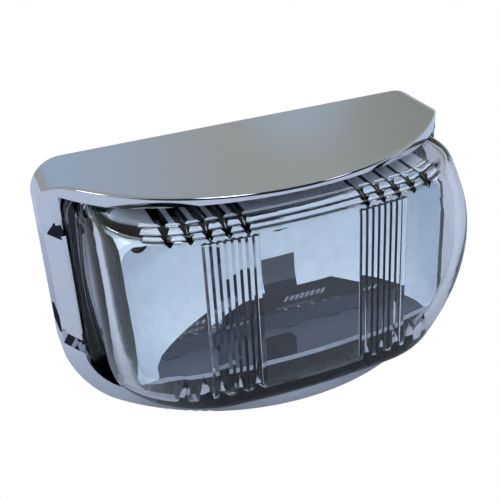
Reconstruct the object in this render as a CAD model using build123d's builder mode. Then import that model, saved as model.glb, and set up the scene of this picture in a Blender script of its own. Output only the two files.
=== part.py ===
from build123d import *
import os
from math import sqrt

# Compact LED navigation light: a clear fluted lamp that snaps into a chrome-plated housing.
# Frame: millimetres, +X to the right seen from the front, the front faces -Y, +Z up.
# The origin is the centre of the mounting plane, which is the flat back of the housing at Y = 0.

os.makedirs("parts", exist_ok=True)

# ---- driving dimensions: housing ----------------------------------------------------------------
WIDTH = 84.6  # end to end
HEIGHT = 46.0  # flat bottom to flat hood
REACH = 33.8  # mounting plane to the front of the hood, on the centre line
END_DEPTH = 6.4  # straight end walls, before the curved wall begins
TOP_CORNER = 6.6  # corner radii seen from the front
BOTTOM_CORNER = 7.6
CREASE_ROUND = 0.6  # rounding where the curved wall meets hood, floor and ends
GASKET = 1.2  # mounting gasket, let into the back so that it ends flush
GASKET_RIM = 2.0  # rim of the housing around the gasket
BACK_PLATE = 2.0

CAVITY_HALF = 38.3  # pocket for the lamp
CAVITY_TOP = 20.4
CAVITY_BOTTOM = -19.2
CAVITY_TOP_RADIUS = 5.0
CAVITY_BOTTOM_RADIUS = 5.0
REVEAL_DEPTH = 9.6  # the window is a little wider than the pocket in front of this depth
UPPER_REVEAL_DEPTH = 8.0
UPPER_REVEAL_HALF = 40.6
UPPER_REVEAL_RADIUS = 6.0
REVEAL_HALF_HIGH = 39.4  # the window's side edges lean inwards going down
REVEAL_HALF_LOW = 38.7
UNDERSIDE_Y = -22.0  # from here forward the underside of the hood climbs, so its edge looks thin
UNDERSIDE_FRONT_Z = 22.0  # height of the underside at the front of the hood
UNDERSIDE_CUT = 1.0  # how far the climbing cut reaches down into the pocket

SLOT_DEPTH = 7.1  # two slots through each end wall, from this depth forward, free a snap tab
SLOT_HEIGHT = 2.5
UPPER_SLOT_Z = 12.15
LOWER_SLOT_Z = -12.55
TAB_INSET = 0.5  # the tab's outer face lies this far inside the end wall
TAB_ROOT = 0.8

SCREW_SPACING = 50.0  # mounting screws, in a line along X
SCREW_HOLE_R = 2.2
GASKET_HOLE_R = 3.4
CABLE_WAY_R = 7.0

# ---- driving dimensions: lamp ---------------------------------------------------------------------
LAMP_Z = 0.6  # height of the lamp's centre line
LAMP_GAP = 0.4  # sliding clearance in the pocket
BASE_WALL = 1.8
BACK_GAP = 0.3  # between lamp base and the back plate
WEB_Y = -6.4  # back of the web, clear of the heads of the mounting screws
CATCH_SIZE = (0.25, 1.4, 14.0)
CATCH_Y = -8.3
CATCH_ROOT = 0.5  # how far the catches reach into the end walls of the base
CATCH_GROOVE = 0.6  # depth of the groove
CATCH_PLAY = 0.4  # the groove in the tab is this much deeper and longer on each side

FLANGE_Y = -11.0  # back of the lens flange
FLANGE = 1.4
SEAL = 0.6
SEAL_INSET = 0.3
LENS_FRONT = -37.3  # foremost point
LENS_SIDE = 37.0  # half width at the waist
LENS_SIDE_Y = -32.6  # where side and front would meet without a corner radius
LENS_TOP = 19.8
LENS_BOTTOM = -18.5
LENS_WAIST_Z = 3.7  # the corners are tightest here and open out going up and down
LENS_CORNER = 7.7  # corner radius from above, at the waist
LENS_CORNER_TOP = 21.3
LENS_CORNER_BOTTOM = 25.0
LENS_TUCK_TOP = 1.1  # the sides come in by this much towards top and bottom
LENS_TUCK_BOTTOM = 1.6
LENS_EDGE_TOP = 3.6
LENS_EDGE_BOTTOM = 2.3
LENS_WALL = 2.6
LENS_LEVELS = 9  # outlines that the lens is lofted through

FLUTE_START = 9.5  # |X| where each fluted band begins
FLUTE_PITCH = 1.25
FLUTE_COUNT = 8
FLUTE_DEPTH = 0.3
FLUTE_PAD = 0.2  # the valleys between the ribs stand this far off the wall
FLUTE_ROOT = 0.9  # how far each band reaches outwards from its valleys, into the wall
FLUTE_Z = (-15.5, 16.0)

CABLE_R = 2.6
GROMMET_NECK_R = 4.4
GROMMET_FLANGE_R = 5.8
GROMMET_TAIL_R = 3.9
GROMMET_TAIL_Y = -0.6
GROMMET_FLANGE = 1.4  # flange behind the web, and the thinner one in front of it
GROMMET_LIP = 1.2

REFLECTOR_WALL = 1.1
REFLECTOR_GAP = 0.5  # between reflector and the inside of the lens
REFLECTOR_HALF = 31.4
REFLECTOR_BACK = -15.3  # the flat back wall's front face
REFLECTOR_FRONT = -30.5  # front edge in the middle, and at the ends
REFLECTOR_FRONT_END = -25.5
REFLECTOR_TOP = 14.6
REFLECTOR_BOTTOM = -13.2
ROOF_RADIUS = 7.6  # between back wall and roof
RAMP_RADIUS = 10.0  # between back wall and floor
END_RADIUS = 3.5  # rounds the ends
FOOT_X = 13.75  # four feet stand on the board
FOOT_Z = (-2.5, 8.6)
FOOT_R = 1.2
LED_OPENING_R = 1.9

BOARD_HALF_X = 32.6
BOARD_HALF_Z = 15.2
BOARD = 1.6
SPREADER = 1.2
PAD = 0.3
BOSS_X = 29.6
BOSS_Z = 12.2
BOSS_R = 2.8
BOSS_HEIGHT = 1.5
BOARD_SCREW_R = 1.0
PILOT_SKIN = 0.6  # plastic left behind the blind pilot holes
SCREW_TIP = 0.8  # the screws end this far in front of the back of the web
SCREW_HEAD_R = 2.1
SCREW_HEAD = 1.4
SCREW_HEAD_ROUND = 0.5
CROSS = (2.2, 0.6, 0.7)  # length, width and depth of the cross recess
BOARD_CORNER = 2.0
HOLE_GAP = 0.2  # around the screws in the board layers
PIN_GAP = 0.9  # around the solder pins in the metal layers
FIT = 0.05  # around poured resin, solder pins and the lens flange
LED_SIZE = 3.0
LED_HEIGHT = 0.8
DOME_R = 1.3
LED_XS = (-26.0, -19.0, -8.5, 8.5, 19.0, 26.0)
LED_Z = 8.6  # the LEDs sit high, behind the ribbed top of the lens
TERMINAL_X = 3.0  # solder pins for the two conductors
TERMINAL_Z = 11.6
PIN_R = 0.5
PIN_TAIL = 0.7  # the pins reach this far into the resin, and stand this far off the board
PIN_HEAD = 1.4
SOLDER_R = 1.1
SOLDER = 0.5

# ---- worked-out dimensions --------------------------------------------------------------------------
HALF = WIDTH / 2
SAG = REACH - END_DEPTH
BOW_R = (HALF**2 + SAG**2) / (2 * SAG)
PLATE_FRONT = -GASKET - BACK_PLATE

BASE_HALF = CAVITY_HALF - LAMP_GAP
BASE_TOP = CAVITY_TOP - LAMP_GAP
BASE_BOTTOM = CAVITY_BOTTOM + LAMP_GAP
BASE_TOP_RADIUS = CAVITY_TOP_RADIUS - LAMP_GAP
BASE_BOTTOM_RADIUS = CAVITY_BOTTOM_RADIUS - LAMP_GAP
BASE_BACK = PLATE_FRONT - BACK_GAP
RIM_Y = FLANGE_Y + SEAL
WEB_FRONT = WEB_Y - BASE_WALL
SPREADER_Y = WEB_FRONT - BOSS_HEIGHT
PAD_Y = SPREADER_Y - SPREADER
BOARD_Y = PAD_Y - PAD
BOARD_FRONT = BOARD_Y - BOARD

LENS_SAG = LENS_SIDE_Y - LENS_FRONT
LENS_R = (LENS_SIDE**2 + LENS_SAG**2) / (2 * LENS_SAG)
BOSSES = [(x, LAMP_Z + z) for x in (-BOSS_X, BOSS_X) for z in (-BOSS_Z, BOSS_Z)]
LEDS = [(x, LED_Z) for x in LED_XS]
SCREWS = [(-SCREW_SPACING / 2, 0), (SCREW_SPACING / 2, 0)]
TERMINALS = [(x, LAMP_Z + TERMINAL_Z) for x in (-TERMINAL_X, TERMINAL_X)]


def save(piece, name):
    """Labels one finished sub-part and writes it to its own file."""
    piece.label = name
    export_step(piece, f"parts/{name}.step")


def facing(y):
    """A plane at depth y that faces the front: local x is X, local y is Z, and it extrudes forward."""
    return Plane.XZ.offset(-y)


def front_outline(half, bottom, top, bottom_radius, top_radius):
    """A rectangle seen from the front, with one radius for its lower and one for its upper corners."""
    with BuildSketch() as outline:
        with Locations((0, (bottom + top) / 2)):
            Rectangle(2 * half, top - bottom)
        fillet(outline.vertices().group_by(Axis.Y)[0], radius=bottom_radius)
        fillet(outline.vertices().group_by(Axis.Y)[-1], radius=top_radius)
    return outline.sketch


def base_outline(inset):
    """The lamp base seen from the front, drawn in by inset."""
    return front_outline(
        BASE_HALF - inset,
        BASE_BOTTOM + inset,
        BASE_TOP - inset,
        BASE_BOTTOM_RADIUS - inset,
        max(BASE_TOP_RADIUS - inset, 0.4),
    )


def housing_plan(inset):
    """The D outline of the housing from above: flat back, short straight ends, bowed front."""
    half = HALF - inset
    radius = BOW_R - inset
    end_y = BOW_R - REACH - sqrt(radius**2 - half**2)
    with BuildSketch() as plan:
        with BuildLine():
            Polyline((half, end_y), (half, 0), (-half, 0), (-half, end_y))
            ThreePointArc((-half, end_y), (0, inset - REACH), (half, end_y))
        make_face()
    return plan.sketch


def lens_form(inset, edge_bottom, edge_top):
    """The outer form of the lens, or a form inside it that is drawn in by inset."""
    bottom, top = LENS_BOTTOM + inset, LENS_TOP - inset
    with BuildPart() as form:
        for k in range(LENS_LEVELS):
            z = bottom + (top - bottom) * k / (LENS_LEVELS - 1)
            if z > LENS_WAIST_Z:
                spread = ((z - LENS_WAIST_Z) / (LENS_TOP - LENS_WAIST_Z)) ** 2
                corner = LENS_CORNER + (LENS_CORNER_TOP - LENS_CORNER) * spread
                side = LENS_SIDE - LENS_TUCK_TOP * spread - inset
            else:
                spread = ((LENS_WAIST_Z - z) / (LENS_WAIST_Z - LENS_BOTTOM)) ** 2
                corner = LENS_CORNER + (LENS_CORNER_BOTTOM - LENS_CORNER) * spread
                side = LENS_SIDE - LENS_TUCK_BOTTOM * spread - inset
            side_y = LENS_FRONT + LENS_R - sqrt((LENS_R - inset) ** 2 - side**2)
            with BuildSketch(Plane.XY.offset(z)) as level:
                with BuildLine():
                    Polyline(
                        (side, side_y), (side, FLANGE_Y), (-side, FLANGE_Y), (-side, side_y)
                    )
                    ThreePointArc((-side, side_y), (0, LENS_FRONT + inset), (side, side_y))
                make_face()
                fillet(level.vertices().group_by(Axis.Y)[0], radius=corner - inset)
        loft()
        for face, radius in (
            (form.faces().sort_by(Axis.Z)[0], edge_bottom),
            (form.faces().sort_by(Axis.Z)[-1], edge_top),
        ):
            if radius:
                fillet([e for e in face.edges() if e.center().Y < FLANGE_Y - 0.01], radius=radius)
    return form.part


# ---- housing ------------------------------------------------------------------------------------------
with BuildPart() as chrome_housing:
    with BuildSketch(Plane.XY.offset(-HEIGHT / 2)):
        add(housing_plan(0))
    extrude(amount=HEIGHT)
    with BuildSketch(facing(0)):
        add(front_outline(HALF, -HEIGHT / 2, HEIGHT / 2, BOTTOM_CORNER, TOP_CORNER))
    extrude(amount=REACH + 1, mode=Mode.INTERSECT)
    bow = chrome_housing.faces().filter_by(GeomType.CYLINDER).sort_by(SortBy.AREA)[-1]
    fillet(bow.edges(), radius=CREASE_ROUND)

    # pocket for the lamp, open to the front
    with BuildSketch(facing(PLATE_FRONT)):
        add(
            front_outline(
                CAVITY_HALF, CAVITY_BOTTOM, CAVITY_TOP, CAVITY_BOTTOM_RADIUS, CAVITY_TOP_RADIUS
            )
        )
    extrude(amount=REACH, mode=Mode.SUBTRACT)

    # the window's side edges, wider than the pocket by a small reveal
    with BuildSketch(facing(-REVEAL_DEPTH)) as reveal:
        with BuildLine():
            Polyline(
                (-REVEAL_HALF_LOW, CAVITY_BOTTOM),
                (REVEAL_HALF_LOW, CAVITY_BOTTOM),
                (REVEAL_HALF_HIGH, CAVITY_TOP),
                (-REVEAL_HALF_HIGH, CAVITY_TOP),
                close=True,
            )
        make_face()
        fillet(reveal.vertices().group_by(Axis.Y)[0], radius=CAVITY_BOTTOM_RADIUS)
    extrude(amount=REACH, mode=Mode.SUBTRACT)
    upper_low = UPPER_SLOT_Z - SLOT_HEIGHT / 2
    with BuildSketch(facing(-UPPER_REVEAL_DEPTH)):
        add(front_outline(UPPER_REVEAL_HALF, upper_low, CAVITY_TOP, 0.2, UPPER_REVEAL_RADIUS))
    extrude(amount=REACH, mode=Mode.SUBTRACT)

    # the underside of the hood climbs towards its front edge
    with BuildSketch(Plane.YZ.offset(-CAVITY_HALF)):
        with BuildLine():
            Polyline(
                (UNDERSIDE_Y, CAVITY_TOP),
                (-REACH, UNDERSIDE_FRONT_Z),
                (-REACH, CAVITY_TOP - UNDERSIDE_CUT),
                (UNDERSIDE_Y, CAVITY_TOP - UNDERSIDE_CUT),
                close=True,
            )
        make_face()
    extrude(amount=2 * CAVITY_HALF, mode=Mode.SUBTRACT)

    # slots above and below each snap tab
    with BuildSketch(facing(-SLOT_DEPTH)):
        with Locations(*[(x, z) for x in (-HALF, HALF) for z in (UPPER_SLOT_Z, LOWER_SLOT_Z)]):
            Rectangle(2 * (HALF - CAVITY_HALF) + 1, SLOT_HEIGHT)
    extrude(amount=REACH / 2, mode=Mode.SUBTRACT)

    # the tab's outer face is set in
    tab_low = LOWER_SLOT_Z + SLOT_HEIGHT / 2
    with BuildSketch(Plane.XY.offset(tab_low)):
        add(housing_plan(-1))
        add(housing_plan(TAB_INSET), mode=Mode.SUBTRACT)
        with Locations((0, -TAB_ROOT)):
            Rectangle(4 * HALF, 2 * REACH, align=(Align.CENTER, Align.MAX), mode=Mode.INTERSECT)
        Rectangle(2 * CAVITY_HALF - 1, 3 * REACH, mode=Mode.SUBTRACT)
    extrude(amount=upper_low - tab_low, mode=Mode.SUBTRACT)

    # groove inside each tab that the lamp's catch springs into
    with BuildSketch(facing(CATCH_Y + CATCH_SIZE[1] / 2 + CATCH_PLAY)):
        Rectangle(2 * (CAVITY_HALF + CATCH_GROOVE), CATCH_SIZE[2] + 4 * CATCH_PLAY)
    extrude(amount=CATCH_SIZE[1] + 2 * CATCH_PLAY, mode=Mode.SUBTRACT)

    # back: recess for the gasket, screw holes and the way for the cable
    with BuildSketch(facing(0)):
        add(
            front_outline(
                HALF - GASKET_RIM,
                GASKET_RIM - HEIGHT / 2,
                HEIGHT / 2 - GASKET_RIM,
                BOTTOM_CORNER - GASKET_RIM,
                TOP_CORNER - GASKET_RIM,
            )
        )
    extrude(amount=GASKET, mode=Mode.SUBTRACT)
    with BuildSketch(facing(-GASKET)):
        with Locations(*SCREWS):
            Circle(SCREW_HOLE_R)
        Circle(CABLE_WAY_R)
    extrude(amount=BACK_PLATE, mode=Mode.SUBTRACT)
save(chrome_housing.part, "chrome_housing")

with BuildPart() as mounting_gasket:
    fit_gap = 2 * FIT
    with BuildSketch(facing(0)):
        add(
            front_outline(
                HALF - GASKET_RIM - fit_gap,
                GASKET_RIM + fit_gap - HEIGHT / 2,
                HEIGHT / 2 - GASKET_RIM - fit_gap,
                BOTTOM_CORNER - GASKET_RIM - fit_gap,
                TOP_CORNER - GASKET_RIM - fit_gap,
            )
        )
        with Locations(*SCREWS):
            Circle(GASKET_HOLE_R, mode=Mode.SUBTRACT)
        Circle(CABLE_WAY_R, mode=Mode.SUBTRACT)
    extrude(amount=GASKET)
save(mounting_gasket.part, "mounting_gasket")

# ---- lamp base ------------------------------------------------------------------------------------------
with BuildPart() as lamp_base:
    with BuildSketch(facing(BASE_BACK)):
        add(base_outline(0))
    extrude(amount=BASE_BACK - RIM_Y)
    with BuildSketch(facing(BASE_BACK)):
        add(base_outline(BASE_WALL))
    extrude(amount=BASE_BACK - WEB_Y, mode=Mode.SUBTRACT)
    with BuildSketch(facing(WEB_FRONT)):
        add(base_outline(BASE_WALL))
    extrude(amount=WEB_FRONT - RIM_Y, mode=Mode.SUBTRACT)
    # bosses for the board screws, with blind pilot holes
    with BuildSketch(facing(WEB_FRONT)):
        with Locations(*BOSSES):
            Circle(BOSS_R)
    extrude(amount=BOSS_HEIGHT)
    with BuildSketch(facing(WEB_Y - PILOT_SKIN)):
        with Locations(*BOSSES):
            Circle(BOARD_SCREW_R)
    extrude(amount=BASE_WALL + BOSS_HEIGHT, mode=Mode.SUBTRACT)
    # hole for the cable grommet
    with BuildSketch(facing(WEB_Y)):
        Circle(GROMMET_NECK_R)
    extrude(amount=BASE_WALL, mode=Mode.SUBTRACT)
    # catches on both ends
    with BuildSketch(facing(CATCH_Y + CATCH_SIZE[1] / 2)):
        for side in (-1, 1):
            with Locations((side * (BASE_HALF - CATCH_ROOT + CATCH_SIZE[0] / 2), 0)):
                Rectangle(2 * CATCH_ROOT + CATCH_SIZE[0], CATCH_SIZE[2])
    extrude(amount=CATCH_SIZE[1])
save(lamp_base.part, "lamp_base")

with BuildPart() as lens_seal:
    with BuildSketch(facing(RIM_Y)):
        add(base_outline(SEAL_INSET))
        add(base_outline(BASE_WALL), mode=Mode.SUBTRACT)
    extrude(amount=SEAL)
save(lens_seal.part, "lens_seal")

# ---- lens ---------------------------------------------------------------------------------------------
with BuildPart() as lens:
    add(lens_form(0, LENS_EDGE_BOTTOM, LENS_EDGE_TOP))
    with BuildSketch(facing(FLANGE_Y)):
        add(base_outline(FIT))
    extrude(amount=FLANGE)
    add(lens_form(LENS_WALL, 0, LENS_EDGE_TOP - LENS_WALL), mode=Mode.SUBTRACT)
    # upright prism ribs on the inside of the front, in two bands
    band_r = LENS_R - LENS_WALL - FLUTE_PAD
    centre_y = LENS_FRONT + LENS_R
    for side in (-1, 1):
        teeth = []
        for k in range(FLUTE_COUNT):
            root_x = side * (FLUTE_START + k * FLUTE_PITCH)
            ridge_x = side * (FLUTE_START + (k + 0.5) * FLUTE_PITCH)
            teeth.append((root_x, centre_y - sqrt(band_r**2 - root_x**2)))
            teeth.append((ridge_x, centre_y - sqrt(band_r**2 - ridge_x**2) + FLUTE_DEPTH))
        end_x = side * (FLUTE_START + FLUTE_COUNT * FLUTE_PITCH)
        end_y = centre_y - sqrt(band_r**2 - end_x**2)
        buried_y = teeth[0][1] - FLUTE_ROOT
        with BuildSketch(Plane.XY.offset(FLUTE_Z[0])):
            with BuildLine():
                Polyline((teeth[0][0], buried_y), *teeth, (end_x, end_y), (end_x, buried_y), close=True)
            make_face()
        extrude(amount=FLUTE_Z[1] - FLUTE_Z[0])
save(lens.part, "lens")

# ---- cable inlet --------------------------------------------------------------------------------------
with BuildPart() as cable_grommet:
    with BuildSketch(facing(GROMMET_TAIL_Y)):
        Circle(GROMMET_TAIL_R)
    extrude(amount=GROMMET_TAIL_Y - WEB_Y)
    with BuildSketch(facing(WEB_Y + GROMMET_FLANGE)):
        Circle(GROMMET_FLANGE_R)
    extrude(amount=GROMMET_FLANGE)
    with BuildSketch(facing(WEB_Y)):
        Circle(GROMMET_NECK_R)
    extrude(amount=BASE_WALL)
    with BuildSketch(facing(WEB_FRONT)):
        Circle(GROMMET_FLANGE_R)
    extrude(amount=GROMMET_LIP)
    with BuildSketch(facing(0)):
        Circle(CABLE_R)
    extrude(amount=BOSS_HEIGHT - WEB_FRONT, mode=Mode.SUBTRACT)
save(cable_grommet.part, "cable_grommet")

with BuildPart() as potting_compound:
    with BuildSketch(facing(WEB_FRONT)):
        add(base_outline(BASE_WALL + FIT))
        with Locations(*BOSSES):
            Circle(BOSS_R + FIT, mode=Mode.SUBTRACT)
        Circle(GROMMET_FLANGE_R + FIT, mode=Mode.SUBTRACT)
        with Locations(*TERMINALS):
            Circle(PIN_R, mode=Mode.SUBTRACT)
    extrude(amount=BOSS_HEIGHT)
save(potting_compound.part, "potting_compound")


def board_layer(y, thickness, name, holes):
    """One flat layer of the board stack, with its screw holes and any further round holes."""
    with BuildPart() as layer:
        with BuildSketch(facing(y)) as outline:
            with Locations((0, LAMP_Z)):
                Rectangle(2 * BOARD_HALF_X, 2 * BOARD_HALF_Z)
            fillet(outline.vertices(), radius=BOARD_CORNER)
            with Locations(*BOSSES):
                Circle(BOARD_SCREW_R + HOLE_GAP, mode=Mode.SUBTRACT)
            for place, radius in holes:
                with Locations(place):
                    Circle(radius, mode=Mode.SUBTRACT)
        extrude(amount=thickness)
    save(layer.part, name)


board_layer(SPREADER_Y, SPREADER, "heat_spreader", [(p, PIN_R + PIN_GAP) for p in TERMINALS])
board_layer(PAD_Y, PAD, "thermal_pad", [(p, PIN_R + PIN_GAP) for p in TERMINALS])
board_layer(BOARD_Y, BOARD, "circuit_board", [(p, PIN_R + FIT) for p in TERMINALS])

with BuildPart() as board_screws:
    with BuildSketch(facing(WEB_Y - SCREW_TIP)):
        with Locations(*BOSSES):
            Circle(BOARD_SCREW_R)
    extrude(amount=WEB_Y - SCREW_TIP - BOARD_FRONT)
    with BuildSketch(facing(BOARD_FRONT)):
        with Locations(*BOSSES):
            Circle(SCREW_HEAD_R)
    extrude(amount=SCREW_HEAD)
    fillet(board_screws.faces().sort_by(Axis.Y)[0:4].edges(), radius=SCREW_HEAD_ROUND)
    with BuildSketch(facing(BOARD_FRONT - SCREW_HEAD + CROSS[2])):
        with Locations(*BOSSES):
            Rectangle(CROSS[0], CROSS[1])
            Rectangle(CROSS[1], CROSS[0])
    extrude(amount=SCREW_HEAD, mode=Mode.SUBTRACT)
save(board_screws.part, "board_screws")

# ---- light sources and driver, on the front of the board ----------------------------------------------
with BuildPart() as led_packages:
    with BuildSketch(facing(BOARD_FRONT)):
        with Locations(*LEDS):
            Rectangle(LED_SIZE, LED_SIZE)
    extrude(amount=LED_HEIGHT)
save(led_packages.part, "led_packages")

with BuildPart() as led_domes:
    dome_y = BOARD_FRONT - LED_HEIGHT
    with Locations(*[(x, dome_y, z) for x, z in LEDS]):
        Sphere(DOME_R)
    split(bisect_by=facing(dome_y), keep=Keep.TOP)
save(led_domes.part, "led_domes")


def chips(name, places, width, height, thickness, rounding=0.0):
    """Identical surface-mounted bodies on the front of the board."""
    with BuildPart() as group:
        with BuildSketch(facing(BOARD_FRONT)):
            with Locations(*[(x, LAMP_Z + z) for x, z in places]):
                Rectangle(width, height)
        extrude(amount=thickness)
        if rounding:
            fillet(group.edges().filter_by(Axis.Y), radius=rounding)
    save(group.part, name)


chips("resistors", [(-22.0, 11.5), (-17.0, 11.5), (17.0, 11.5), (22.0, 11.5)], 3.2, 1.6, 0.6)
chips("capacitors", [(-22.0, -11.5), (21.0, -11.5)], 3.2, 2.5, 1.8)
chips("inductor", [(0.0, -11.6)], 5.0, 5.0, 2.0, rounding=1.2)
chips("polarity_diode", [(-8.0, -11.6)], 4.3, 2.6, 2.0)
chips("surge_suppressor", [(-15.0, -11.6)], 4.6, 2.8, 2.0)

with BuildPart() as driver_chip:
    chip_place = (9.0, LAMP_Z - 11.6)
    chip_body = (4.9, 3.9, 1.4)
    lead = (0.42, 1.3, 0.3)
    lead_pitch, row_pitch = 1.27, 5.0
    with BuildSketch(facing(BOARD_FRONT)):
        with Locations(chip_place):
            Rectangle(chip_body[0], chip_body[1])
    extrude(amount=chip_body[2])
    with BuildSketch(facing(BOARD_FRONT)):
        with Locations(chip_place):
            with GridLocations(lead_pitch, row_pitch, 4, 2):
                Rectangle(lead[0], lead[1])
    extrude(amount=lead[2])
save(driver_chip.part, "driver_chip")

with BuildPart() as terminal_pins:
    with BuildSketch(facing(SPREADER_Y + PIN_TAIL)):
        with Locations(*TERMINALS):
            Circle(PIN_R)
    extrude(amount=SPREADER_Y + PIN_TAIL - BOARD_FRONT + PIN_HEAD)
    with BuildSketch(facing(BOARD_FRONT)):
        with Locations(*TERMINALS):
            Circle(SOLDER_R)
    extrude(amount=SOLDER)
save(terminal_pins.part, "terminal_pins")

# ---- reflector: a trough with a flat back wall, a ramp below it and rounded ends ------------------------


def trough(wall):
    """A solid that fills the trough, or with a wall the solid that the trough is cut from."""
    half = REFLECTOR_HALF + wall
    back = REFLECTOR_BACK + wall
    top, bottom = REFLECTOR_TOP + wall, REFLECTOR_BOTTOM - wall
    with BuildPart() as solid:
        with BuildSketch(Plane.YZ.offset(-half)) as profile:
            with BuildLine():
                Polyline((LENS_FRONT, bottom), (back, bottom), (back, top), (LENS_FRONT, top), close=True)
            make_face()
            lower, upper = profile.vertices().group_by(Axis.X)[-1].sort_by(Axis.Y)
            fillet(lower, radius=RAMP_RADIUS + wall)
            fillet(upper, radius=ROOF_RADIUS + wall)
        extrude(amount=2 * half)
        ends = [e for e in solid.edges() if abs(abs(e.center().X) - half) < 0.01]
        fillet([e for e in ends if e.center().Y > LENS_FRONT + 0.01], radius=END_RADIUS + wall)
    return solid.part


with BuildPart() as reflector:
    add(trough(REFLECTOR_WALL))
    # feet on the board
    with BuildSketch(facing(BOARD_FRONT)):
        with Locations(*[(x, z) for x in (-FOOT_X, FOOT_X) for z in FOOT_Z]):
            Circle(FOOT_R)
    extrude(amount=BOARD_FRONT - REFLECTOR_BACK)
    # openings for the LEDs
    with BuildSketch(facing(BOARD_FRONT)):
        with Locations(*LEDS):
            Circle(LED_OPENING_R)
    extrude(amount=BOARD_FRONT - REFLECTOR_BACK + 1, mode=Mode.SUBTRACT)
    add(trough(0), mode=Mode.SUBTRACT)
    # the front follows the bow of the lens
    with BuildSketch(Plane.XY.offset(REFLECTOR_BOTTOM - 2 * REFLECTOR_WALL)):
        edge_x = REFLECTOR_HALF + REFLECTOR_WALL
        with BuildLine():
            Polyline(
                (edge_x, REFLECTOR_FRONT_END),
                (edge_x, BOARD_FRONT),
                (-edge_x, BOARD_FRONT),
                (-edge_x, REFLECTOR_FRONT_END),
            )
            ThreePointArc(
                (-edge_x, REFLECTOR_FRONT_END), (0, REFLECTOR_FRONT), (edge_x, REFLECTOR_FRONT_END)
            )
        make_face()
    extrude(amount=2 * (REFLECTOR_TOP - REFLECTOR_BOTTOM), mode=Mode.INTERSECT)
    add(lens_form(LENS_WALL + REFLECTOR_GAP, 0, 0), mode=Mode.INTERSECT)
save(reflector.part, "reflector")
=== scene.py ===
import math

import bmesh
import bpy
from mathutils import Matrix, Vector


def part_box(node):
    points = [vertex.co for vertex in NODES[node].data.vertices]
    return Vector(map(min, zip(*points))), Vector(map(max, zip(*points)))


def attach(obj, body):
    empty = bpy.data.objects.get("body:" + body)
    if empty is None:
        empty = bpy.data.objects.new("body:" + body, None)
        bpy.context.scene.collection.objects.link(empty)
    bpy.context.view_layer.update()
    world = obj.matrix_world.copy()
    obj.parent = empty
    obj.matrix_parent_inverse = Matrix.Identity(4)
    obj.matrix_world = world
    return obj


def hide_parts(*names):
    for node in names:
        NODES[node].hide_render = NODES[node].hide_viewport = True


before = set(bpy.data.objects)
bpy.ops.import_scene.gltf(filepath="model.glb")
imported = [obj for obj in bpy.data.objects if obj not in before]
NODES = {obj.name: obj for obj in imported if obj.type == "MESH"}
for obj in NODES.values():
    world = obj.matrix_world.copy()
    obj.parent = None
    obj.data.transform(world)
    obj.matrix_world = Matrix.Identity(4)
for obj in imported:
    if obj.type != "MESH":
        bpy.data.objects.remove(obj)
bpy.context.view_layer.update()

SCENE = bpy.context.scene
FLOOR_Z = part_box("chrome_housing")[0][2]

# ---- camera: seen from the front left and above, with a slight tilt to the left --------------
CAMERA_PLACE = Vector((-0.05722, -0.16074, 0.08850))
CAMERA_AZIMUTH = math.radians(20.08)
CAMERA_ELEVATION = math.radians(29.21)
CAMERA_ROLL = math.radians(-3.46)
CAMERA_LENS = 64.64  # mm on a sensor 36 mm wide


def make_camera():
    """A camera that looks along azimuth and elevation, rolled about its own axis."""
    level = Vector((math.sin(CAMERA_AZIMUTH), math.cos(CAMERA_AZIMUTH), 0))
    forward = level * math.cos(CAMERA_ELEVATION) - Vector((0, 0, math.sin(CAMERA_ELEVATION)))
    right = forward.cross(Vector((0, 0, 1))).normalized()
    up = right.cross(forward)
    tilted_right = right * math.cos(CAMERA_ROLL) + up * math.sin(CAMERA_ROLL)
    tilted_up = tilted_right.cross(forward)
    turn = Matrix((tilted_right, tilted_up, -forward)).transposed().to_4x4()
    data = bpy.data.cameras.new("camera")
    data.lens = CAMERA_LENS
    data.sensor_width = 36.0
    data.clip_start = 0.001
    camera = bpy.data.objects.new("camera", data)
    camera.matrix_world = Matrix.Translation(CAMERA_PLACE) @ turn
    SCENE.collection.objects.link(camera)
    SCENE.camera = camera


# ---- shader helpers --------------------------------------------------------------------------


def new_material(name):
    """An empty node material with its Principled shader."""
    material = bpy.data.materials.new(name)
    material.use_nodes = True
    tree = material.node_tree
    shader = tree.nodes["Principled BSDF"]
    return material, tree, shader


def set_inputs(node, **values):
    """Sets sockets by name, with underscores for spaces."""
    for key, value in values.items():
        node.inputs[key.replace("_", " ")].default_value = value


def add_node(tree, kind, **values):
    node = tree.nodes.new(kind)
    for key, value in values.items():
        setattr(node, key, value)
    return node


def noise(tree, scale, detail=3.0, roughness=0.5, stretch=(1, 1, 1)):
    """Object-space noise, scaled in features per metre."""
    place = add_node(tree, "ShaderNodeTexCoord")
    mapping = add_node(tree, "ShaderNodeMapping")
    mapping.inputs["Scale"].default_value = stretch
    texture = add_node(tree, "ShaderNodeTexNoise")
    set_inputs(texture, Scale=scale, Detail=detail, Roughness=roughness)
    tree.links.new(place.outputs["Object"], mapping.inputs["Vector"])
    tree.links.new(mapping.outputs["Vector"], texture.inputs["Vector"])
    return texture.outputs["Fac"]


def ramp(tree, source, low, high, start=0.0, end=1.0):
    """Maps a value between two colours or greys."""
    node = add_node(tree, "ShaderNodeValToRGB")
    node.color_ramp.elements[0].position = start
    node.color_ramp.elements[1].position = end
    node.color_ramp.elements[0].color = low
    node.color_ramp.elements[1].color = high
    tree.links.new(source, node.inputs["Fac"])
    return node.outputs["Color"]


def grey(value):
    return (value, value, value, 1)


def bump(tree, shader, source, strength, distance):
    node = add_node(tree, "ShaderNodeBump")
    set_inputs(node, Strength=strength, Distance=distance)
    tree.links.new(source, node.inputs["Height"])
    tree.links.new(node.outputs["Normal"], shader.inputs["Normal"])


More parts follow.
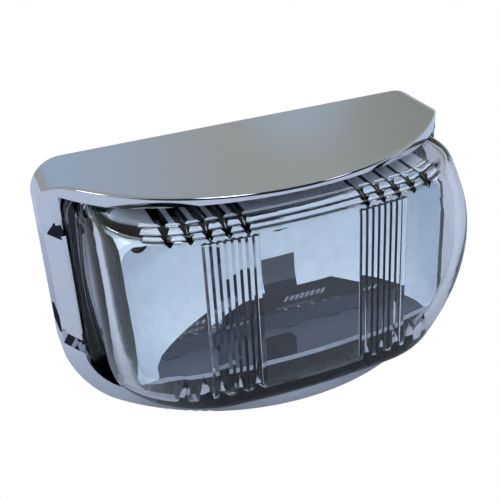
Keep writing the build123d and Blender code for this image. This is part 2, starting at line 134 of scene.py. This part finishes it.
# ---- materials -------------------------------------------------------------------------------
REFLECTOR_HALF = 0.03145  # the reflector's inside, in metres, as in the CAD
REFLECTOR_BACK = -0.01525
REFLECTOR_BOTTOM = -0.01325
PAINTED_REFLECTION_LOW = -0.0075  # lower edge of the painted reflection, a pale blue panel painted on its back wall
PAINTED_REFLECTION_LEVEL_HALF = 0.0126  # the edge is level out to this |X|, and then drops by this slope
PAINTED_REFLECTION_SLOPE = 0.37
PAINTED_DARK_FIELD = (-0.0020, 0.0050)  # painted dark reflection: a rectangle of darkened mirror beside the middle of the painted reflection, along X
PAINTED_DARK_FIELD_TOP = -0.0003
UNDERSIDE_PAINTED_LIGHT = 0.55  # painted light: how much of the pale painted reflection the trough's underside gets
# how matt the painted reflection is: this share is matt paint, the rest mirror
PAINTED_REFLECTION_MATT = 0.9
MIRROR_ROUGHNESS = 0.04
SATIN_ROUGHNESS = 0.3  # on top of the mirror's, and likewise on the black faces
# painted shade: the mirror's colour darkened to near black wherever the painted reflection leaves it
# bare
PAINTED_SHADE_MIRROR_COLOR = (0.10, 0.11, 0.13, 1)
# the painted reflection's pale blues, between which its tone varies at random
PAINTED_REFLECTION_COLORS = ((0.66, 0.76, 0.88, 1), (0.74, 0.84, 0.95, 1))
BLACK_COLOR = (0.01, 0.011, 0.013, 1)


def chrome_material():
    material, tree, shader = new_material("chrome_plating")
    set_inputs(shader, Base_Color=(0.80, 0.82, 0.85, 1), Metallic=1.0)
    wear_and_painted_reflection = noise(tree, 260, detail=6)
    tree.links.new(ramp(tree, wear_and_painted_reflection, grey(0.02), grey(0.07), 0.35, 0.8), shader.inputs["Roughness"])
    bump(tree, shader, noise(tree, 90, detail=1), 0.06, 0.0004)
    return material


def lens_material():
    material, tree, shader = new_material("clear_polycarbonate")
    set_inputs(shader, Base_Color=(0.97, 0.985, 1.0, 1), IOR=1.55, Transmission_Weight=1.0)
    haze = noise(tree, 300, detail=5)
    tree.links.new(ramp(tree, haze, grey(0.0), grey(0.03), 0.45, 0.85), shader.inputs["Roughness"])
    bump(tree, shader, noise(tree, 75, detail=1), 0.12, 0.0006)
    return material


def plastic_material(name, color, roughness, variation=0.08, grain=900):
    material, tree, shader = new_material(name)
    set_inputs(shader, Base_Color=color)
    low = max(roughness - variation, 0.02)
    fine = noise(tree, grain, detail=4)
    tree.links.new(
        ramp(tree, fine, grey(low), grey(roughness + variation), 0.3, 0.7), shader.inputs["Roughness"]
    )
    bump(tree, shader, fine, 0.15, 0.00005)
    return material


def reflector_material():
    """A painted reflection, pale blue and satin, on the back wall with a dark field cut out; below it
    a mirror darkened as painted shade, painted light on the underside, and black behind and beyond
    the ends.
    """
    material, tree, shader = new_material("metallised_plastic")
    place = add_node(tree, "ShaderNodeTexCoord")
    split = add_node(tree, "ShaderNodeSeparateXYZ")
    tree.links.new(place.outputs["Object"], split.inputs["Vector"])
    x, y, z = (split.outputs[axis] for axis in "XYZ")

    def calc(operation, *terms):
        """A Math node; each term is a number or another node's output."""
        node = add_node(tree, "ShaderNodeMath", operation=operation)
        for socket, term in zip(node.inputs, terms):
            if isinstance(term, (int, float)):
                socket.default_value = term
            else:
                tree.links.new(term, socket)
        return node.outputs["Value"]

    def above(value, threshold):
        return calc("GREATER_THAN", value, threshold)

    across = calc("ABSOLUTE", x)
    # painted reflection: level across the middle, its lower edge dropping towards the ends
    past_level = calc("MAXIMUM", calc("SUBTRACT", across, PAINTED_REFLECTION_LEVEL_HALF), 0)
    edge = calc("SUBTRACT", PAINTED_REFLECTION_LOW, calc("MULTIPLY", past_level, PAINTED_REFLECTION_SLOPE))
    painted_reflection = above(z, edge)
    # painted dark field: a rectangle cut from the painted reflection, where the darkened mirror shows
    painted_dark_field = calc("MULTIPLY", above(x, PAINTED_DARK_FIELD[0]), above(PAINTED_DARK_FIELD[1], x))
    painted_dark_field = calc("MULTIPLY", painted_dark_field, above(PAINTED_DARK_FIELD_TOP, z))
    painted_reflection = calc("MULTIPLY", painted_reflection, calc("SUBTRACT", 1, painted_dark_field))
    # painted light on the trough's underside: part of the pale painted reflection
    underside_painted_light = calc("MULTIPLY", above(REFLECTOR_BOTTOM, z), UNDERSIDE_PAINTED_LIGHT)
    painted_reflection = calc("MAXIMUM", painted_reflection, underside_painted_light)
    outside = calc("MAXIMUM", above(across, REFLECTOR_HALF), above(y, REFLECTOR_BACK))

    # the painted reflection's colour, varying at random in tone
    fine = noise(tree, 500, detail=4)
    wear_and_painted_reflection = ramp(tree, fine, *PAINTED_REFLECTION_COLORS, 0.3, 0.7)
    # the mirror, darkened as painted shade, under the painted reflection
    tint = add_node(tree, "ShaderNodeMix", data_type="RGBA")
    tint.inputs["A"].default_value = PAINTED_SHADE_MIRROR_COLOR
    tree.links.new(painted_reflection, tint.inputs["Factor"])
    tree.links.new(wear_and_painted_reflection, tint.inputs["B"])
    black = add_node(tree, "ShaderNodeMix", data_type="RGBA")
    black.inputs["B"].default_value = BLACK_COLOR
    tree.links.new(outside, black.inputs["Factor"])
    tree.links.new(tint.outputs["Result"], black.inputs["A"])
    tree.links.new(black.outputs["Result"], shader.inputs["Base Color"])
    # the painted reflection is mostly matt paint; the rest of the inside is mirror
    painted_matt_share = calc("MULTIPLY", painted_reflection, PAINTED_REFLECTION_MATT)
    metal = calc("MULTIPLY", calc("SUBTRACT", 1, painted_matt_share), calc("SUBTRACT", 1, outside))
    tree.links.new(metal, shader.inputs["Metallic"])
    painted_reflection_rough = calc("MULTIPLY", painted_reflection, SATIN_ROUGHNESS)
    rough = calc("ADD", painted_reflection_rough, calc("MULTIPLY", outside, SATIN_ROUGHNESS))
    tree.links.new(calc("ADD", rough, MIRROR_ROUGHNESS), shader.inputs["Roughness"])
    bump(tree, shader, noise(tree, 120, detail=2), 0.06, 0.0003)
    return material


def metal_material(name, color, roughness):
    material, tree, shader = new_material(name)
    set_inputs(shader, Base_Color=color, Metallic=1.0)
    fine = noise(tree, 700, detail=4, stretch=(1, 1, 6))
    tree.links.new(
        ramp(tree, fine, grey(roughness - 0.08), grey(roughness + 0.1), 0.3, 0.7),
        shader.inputs["Roughness"],
    )
    return material


def dress(node, material):
    for slot in NODES[node].material_slots:
        slot.material = material


def dress_all():
    black = plastic_material("black_plastic", (0.012, 0.013, 0.016, 1), 0.35)
    component = plastic_material("component_black", (0.02, 0.02, 0.022, 1), 0.5)
    finishes = {
        "chrome_housing": chrome_material(),
        "lens": lens_material(),
        "lamp_base": black,
        "reflector": reflector_material(),
        "mounting_gasket": plastic_material("gasket_foam", (0.02, 0.02, 0.022, 1), 0.85, 0.1, 2500),
        "lens_seal": plastic_material("silicone_seal", (0.02, 0.02, 0.022, 1), 0.45),
        "cable_grommet": plastic_material("black_rubber", (0.015, 0.015, 0.016, 1), 0.6),
        "circuit_board": plastic_material("solder_mask", (0.01, 0.05, 0.025, 1), 0.3),
        "potting_compound": plastic_material("potting_resin", (0.02, 0.02, 0.022, 1), 0.3),
        "thermal_pad": plastic_material("thermal_silicone", (0.35, 0.37, 0.4, 1), 0.6),
        "heat_spreader": metal_material("aluminium_sheet", (0.85, 0.86, 0.87, 1), 0.35),
        "board_screws": metal_material("steel_screws", (0.7, 0.7, 0.71, 1), 0.3),
        "terminal_pins": metal_material("tinned_brass", (0.8, 0.78, 0.7, 1), 0.25),
        "led_packages": plastic_material("led_ceramic", (0.8, 0.8, 0.78, 1), 0.5),
        "led_domes": plastic_material("led_silicone", (0.85, 0.7, 0.2, 1), 0.2),
        "capacitors": plastic_material("component_ceramic", (0.35, 0.25, 0.15, 1), 0.4),
    }
    for node in ("resistors", "inductor", "polarity_diode", "surge_suppressor", "driver_chip"):
        finishes[node] = component
    for node, material in finishes.items():
        dress(node, material)


# ---- the lens with its moulded optics --------------------------------------------------------
MM = 0.001
LENS_FRONT = -37.3  # the lens's outer form, in mm, as in the CAD
LENS_TOP = 19.8
LENS_BOTTOM = -18.5
LENS_WALL = 2.6
LENS_SIDE = 37.0
LENS_WAIST_Z = 3.7
LENS_CORNER = 7.7
LENS_CORNER_TOP = 21.3
LENS_CORNER_BOTTOM = 25.0
LENS_TUCK_TOP = 1.1
LENS_TUCK_BOTTOM = 1.6
LENS_R = 148.0
RIB_START = 9.6  # |X| of the first V rib on the inside of top and bottom
RIB_PITCH = 3.3
RIB_COUNT = 5
RIB_DEPTH = 1.0
RIB_BACK = -15.0
SPIKE_HEIGHT = 6.5  # the lower ribs climb the front as slim pyramids
SPIKE_DEPTH = 1.4
ROD_R = 0.65  # rods along the inner top front edge
ROD_SETBACKS = (0.6, 2.0, 3.4)
ROD_HALF = 28.0
ROD_STEPS = 56
ROD_SIDES = 14
RIB_FILL = 0.49  # half a rib's width, as a share of the pitch
BURIED = 0.4  # the ribs' feet lie this deep in the top or bottom wall
BURIED_FRONT = 0.6  # and the pyramids' feet this deep in the front wall
BURIED_END = 0.5  # the ribs' front ends
BURIED_BASE = 0.3  # the pyramids' undersides, in the bottom wall
TIP_HALF = 0.1  # half a pyramid's width at its tip
TIP_BURIED = 0.2
WELD = 2e-6  # metres
SHARP = 28.0  # degrees


def inner_front_y(x, z, inset=LENS_WALL):
    """Depth of the lens's inner front: a bow with corner arcs that open out from the waist."""
    if z > LENS_WAIST_Z:
        spread = ((z - LENS_WAIST_Z) / (LENS_TOP - LENS_WAIST_Z)) ** 2
        corner = LENS_CORNER + (LENS_CORNER_TOP - LENS_CORNER) * spread
        side = LENS_SIDE - LENS_TUCK_TOP * spread
    else:
        spread = ((LENS_WAIST_Z - z) / (LENS_WAIST_Z - LENS_BOTTOM)) ** 2
        corner = LENS_CORNER + (LENS_CORNER_BOTTOM - LENS_CORNER) * spread
        side = LENS_SIDE - LENS_TUCK_BOTTOM * spread
    bow_r = LENS_R - inset
    bow_y = LENS_FRONT + LENS_R
    r = corner - inset
    centre_x = side - inset - r
    centre_y = bow_y - math.sqrt((bow_r - r) ** 2 - centre_x**2)
    across = abs(x)
    if across <= centre_x * bow_r / (bow_r - r):
        return bow_y - math.sqrt(bow_r**2 - across**2)
    return centre_y - math.sqrt(max(r**2 - (across - centre_x) ** 2, 0))


def solid(bm, rings):
    """Skins a row of equal closed rings of points into one closed solid."""
    made = [[bm.verts.new(Vector(p) * MM) for p in ring] for ring in rings]
    n = len(made[0])
    for low, high in zip(made, made[1:]):
        for k in range(n):
            bm.faces.new((low[k], low[(k + 1) % n], high[(k + 1) % n], high[k]))
    bm.faces.new(list(reversed(made[0])))
    bm.faces.new(made[-1])


def optics_mesh():
    """V ribs on top and bottom, pyramids at the lower front edge and rods at the upper one."""
    pieces = []

    def start():
        pieces.append(bmesh.new())
        return pieces[-1]

    for side in (-1, 1):
        for k in range(RIB_COUNT):
            x = side * (RIB_START + (k + 0.5) * RIB_PITCH)
            half = RIB_PITCH * RIB_FILL
            for wall_z, up in ((LENS_TOP - LENS_WALL, -1), (LENS_BOTTOM + LENS_WALL, 1)):
                end_y = inner_front_y(x, wall_z) - BURIED_END
                rings = []
                for y in (RIB_BACK, end_y):
                    rings.append(
                        (
                            (x - half, y, wall_z - up * BURIED),
                            (x, y, wall_z + up * RIB_DEPTH),
                            (x + half, y, wall_z - up * BURIED),
                        )
                    )
                solid(start(), rings)
            low = LENS_BOTTOM + LENS_WALL - BURIED_BASE
            high = low + SPIKE_HEIGHT
            y_low, y_high = inner_front_y(x, low), inner_front_y(x, high)
            solid(
                start(),
                (
                    (
                        (x - half, y_low - BURIED_FRONT, low),
                        (x, y_low + SPIKE_DEPTH, low),
                        (x + half, y_low - BURIED_FRONT, low),
                    ),
                    (
                        (x - TIP_HALF, y_high - BURIED_FRONT, high),
                        (x, y_high - TIP_BURIED, high),
                        (x + TIP_HALF, y_high - BURIED_FRONT, high),
                    ),
                ),
            )
    for setback in ROD_SETBACKS:
        path = []
        for k in range(ROD_STEPS + 1):
            x = ROD_HALF * (2 * k / ROD_STEPS - 1)
            z = LENS_TOP - LENS_WALL
            path.append(Vector((x, inner_front_y(x, z) + setback, z)))
        rings = []
        for k, point in enumerate(path):
            along = (path[min(k + 1, ROD_STEPS)] - path[max(k - 1, 0)]).normalized()
            across = along.cross(Vector((0, 0, 1))).normalized()
            ring = []
            for j in range(ROD_SIDES):
                turn = 2 * math.pi * (j + 0.5) / ROD_SIDES
                up_part = Vector((0, 0, 1)) * math.sin(turn) * ROD_R
                ring.append(point + across * math.cos(turn) * ROD_R + up_part)
            rings.append(ring)
        solid(start(), rings)
    meshes = []
    for k, bm in enumerate(pieces):
        bmesh.ops.recalc_face_normals(bm, faces=bm.faces)
        data = bpy.data.meshes.new(f"optic_{k}")
        bm.to_mesh(data)
        bm.free()
        meshes.append(data)
    return meshes


def make_lens(material):
    """The CAD lens joined with the fine optics on its inside."""
    bm = bmesh.new()
    bm.from_mesh(NODES["lens"].data)
    bmesh.ops.remove_doubles(bm, verts=bm.verts, dist=WELD)
    data = bpy.data.meshes.new("lens_body")
    bm.to_mesh(data)
    bm.free()
    lens = bpy.data.objects.new("lens_body", data)
    SCENE.collection.objects.link(lens)
    tools = bpy.data.collections.new("optics")
    cutters = []
    for mesh in optics_mesh():
        cutter = bpy.data.objects.new(mesh.name, mesh)
        tools.objects.link(cutter)
        cutters.append(cutter)
    union = lens.modifiers.new("optics", "BOOLEAN")
    union.operation = "UNION"
    union.solver = "EXACT"
    union.use_self = True
    union.operand_type = "COLLECTION"
    union.collection = tools
    SCENE.collection.children.link(tools)
    graph = bpy.context.evaluated_depsgraph_get()
    joined = bpy.data.meshes.new_from_object(lens.evaluated_get(graph))
    lens.modifiers.clear()
    lens.data = joined
    for cutter in cutters:
        bpy.data.objects.remove(cutter)
    bpy.data.collections.remove(tools)
    # the stored normals of the CAD mesh no longer fit the joined one
    if "custom_normal" in joined.attributes:
        joined.attributes.remove(joined.attributes["custom_normal"])
    joined.materials.clear()
    joined.materials.append(material)
    joined.shade_smooth()
    joined.set_sharp_from_angle(angle=math.radians(SHARP))
    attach(lens, "lamp")
    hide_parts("lens")


# ---- surroundings ----------------------------------------------------------------------------


def direction(azimuth, elevation):
    """Unit vector: azimuth 0 is +Y, 90 is +X; elevation is up."""
    a, e = math.radians(azimuth), math.radians(elevation)
    return (math.cos(e) * math.sin(a), math.cos(e) * math.cos(a), math.sin(e))


ROOM_COLOR = (0.345, 0.365, 0.355, 1)
ROOM_PATCHES = (  # (azimuth, elevation), inner and outer angular radius in degrees, colour
    ((-6, 22), 8, 24, (0.35, 0.43, 0.55, 1)),  # bluish, behind left
    ((24, 19), 1, 5, (0.36, 0.42, 0.48, 1)),  # bluish, behind right
    ((45, 18), 10, 20, (0.27, 0.28, 0.26, 1)),  # warmer and darker, right
    ((175, 12), 52, 74, (0.02, 0.023, 0.032, 1)),  # the dark room in front
    ((-95, 25), 4, 9, (3.0, 3.2, 3.5, 1)),  # window on the left
    ((-165, 62), 7, 13, (3.0, 3.2, 3.5, 1)),  # lamp, high in front
    ((130, 40), 4, 8, (2.2, 2.3, 2.6, 1)),  # window on the right
)
TENT_COLOR = (2.6, 2.7, 2.85, 1)
FLOOR_COLOR = (0.19, 0.21, 0.25, 1)
FLOOR_HALF = 0.9
FLOOR_GAP = 0.0001  # the part stands this far above it
WHITE = (1, 1, 1, 1)


def make_world():
    """A room seen only in mirrors and glass: grey, dark in front, with soft patches of light."""
    world = bpy.data.worlds.new("studio")
    SCENE.world = world
    world.use_nodes = True
    tree = world.node_tree
    tree.nodes.clear()
    place = add_node(tree, "ShaderNodeTexCoord")

    def spot(base, centre, inner, outer, color):
        """Mixes a soft round patch of light of the given angular radii over what is there."""
        dot = add_node(tree, "ShaderNodeVectorMath", operation="DOT_PRODUCT")
        tree.links.new(place.outputs["Generated"], dot.inputs[0])
        dot.inputs[1].default_value = direction(*centre)
        fade = add_node(tree, "ShaderNodeMapRange", interpolation_type="SMOOTHSTEP")
        tree.links.new(dot.outputs["Value"], fade.inputs["Value"])
        fade.inputs["From Min"].default_value = math.cos(math.radians(outer))
        fade.inputs["From Max"].default_value = math.cos(math.radians(inner))
        mix = add_node(tree, "ShaderNodeMix", data_type="RGBA")
        tree.links.new(fade.outputs["Result"], mix.inputs["Factor"])
        if isinstance(base, tuple):
            mix.inputs["A"].default_value = base
        else:
            tree.links.new(base, mix.inputs["A"])
        mix.inputs["B"].default_value = color
        return mix.outputs["Result"]

    color = ROOM_COLOR
    for centre, inner, outer, patch_color in ROOM_PATCHES:
        color = spot(color, centre, inner, outer, patch_color)

    # matt surfaces are lit by a plain light tent, mirrors and glass show the room
    path = add_node(tree, "ShaderNodeLightPath")
    tent = add_node(tree, "ShaderNodeMix", data_type="RGBA")
    scattered = add_node(tree, "ShaderNodeMath", operation="GREATER_THAN")
    tree.links.new(path.outputs["Diffuse Depth"], scattered.inputs[0])
    scattered.inputs[1].default_value = 0.5
    tree.links.new(scattered.outputs["Value"], tent.inputs["Factor"])
    tree.links.new(color, tent.inputs["A"])
    tent.inputs["B"].default_value = TENT_COLOR
    seen = add_node(tree, "ShaderNodeBackground")
    seen.inputs["Color"].default_value = WHITE
    lit = add_node(tree, "ShaderNodeBackground")
    tree.links.new(tent.outputs["Result"], lit.inputs["Color"])
    choose = add_node(tree, "ShaderNodeMixShader")
    out = add_node(tree, "ShaderNodeOutputWorld")
    tree.links.new(path.outputs["Is Camera Ray"], choose.inputs["Fac"])
    tree.links.new(lit.outputs["Background"], choose.inputs[1])
    tree.links.new(seen.outputs["Background"], choose.inputs[2])
    tree.links.new(choose.outputs["Shader"], out.inputs["Surface"])


def make_floor():
    """A plain pale floor, one colour all over: white to the eye, and pale blue in mirrors."""
    data = bpy.data.meshes.new("floor")
    corners = [(x * FLOOR_HALF, y * FLOOR_HALF) for x, y in ((-1, -1), (1, -1), (1, 1), (-1, 1))]
    data.from_pydata([(x, y, FLOOR_Z - FLOOR_GAP) for x, y in corners], [], [(0, 1, 2, 3)])
    floor = bpy.data.objects.new("floor", data)
    SCENE.collection.objects.link(floor)
    material = bpy.data.materials.new("pale_floor")
    material.use_nodes = True
    tree = material.node_tree
    tree.nodes.clear()
    seen = add_node(tree, "ShaderNodeEmission")
    set_inputs(seen, Color=WHITE, Strength=1.0)
    matt = add_node(tree, "ShaderNodeBsdfDiffuse")
    set_inputs(matt, Color=FLOOR_COLOR)
    path = add_node(tree, "ShaderNodeLightPath")
    choose = add_node(tree, "ShaderNodeMixShader")
    out = add_node(tree, "ShaderNodeOutputMaterial")
    tree.links.new(path.outputs["Is Camera Ray"], choose.inputs["Fac"])
    tree.links.new(matt.outputs["BSDF"], choose.inputs[1])
    tree.links.new(seen.outputs["Emission"], choose.inputs[2])
    tree.links.new(choose.outputs["Shader"], out.inputs["Surface"])
    data.materials.append(material)


def make_lights():
    """One soft light above, for shape on the matt pieces; mirrors look past it."""
    data = bpy.data.lights.new("overhead", "AREA")
    data.size = 0.8
    data.energy = 1.0
    lamp = bpy.data.objects.new("overhead", data)
    lamp.location = (-0.1, -0.2, 0.9)
    lamp.rotation_euler = (-lamp.location).to_track_quat("-Z", "Y").to_euler()
    lamp.visible_glossy = False
    lamp.visible_transmission = False
    SCENE.collection.objects.link(lamp)


make_camera()
dress_all()
make_lens(NODES["lens"].material_slots[0].material)
make_world()
make_floor()
make_lights()
SCENE.view_settings.view_transform = "Standard"
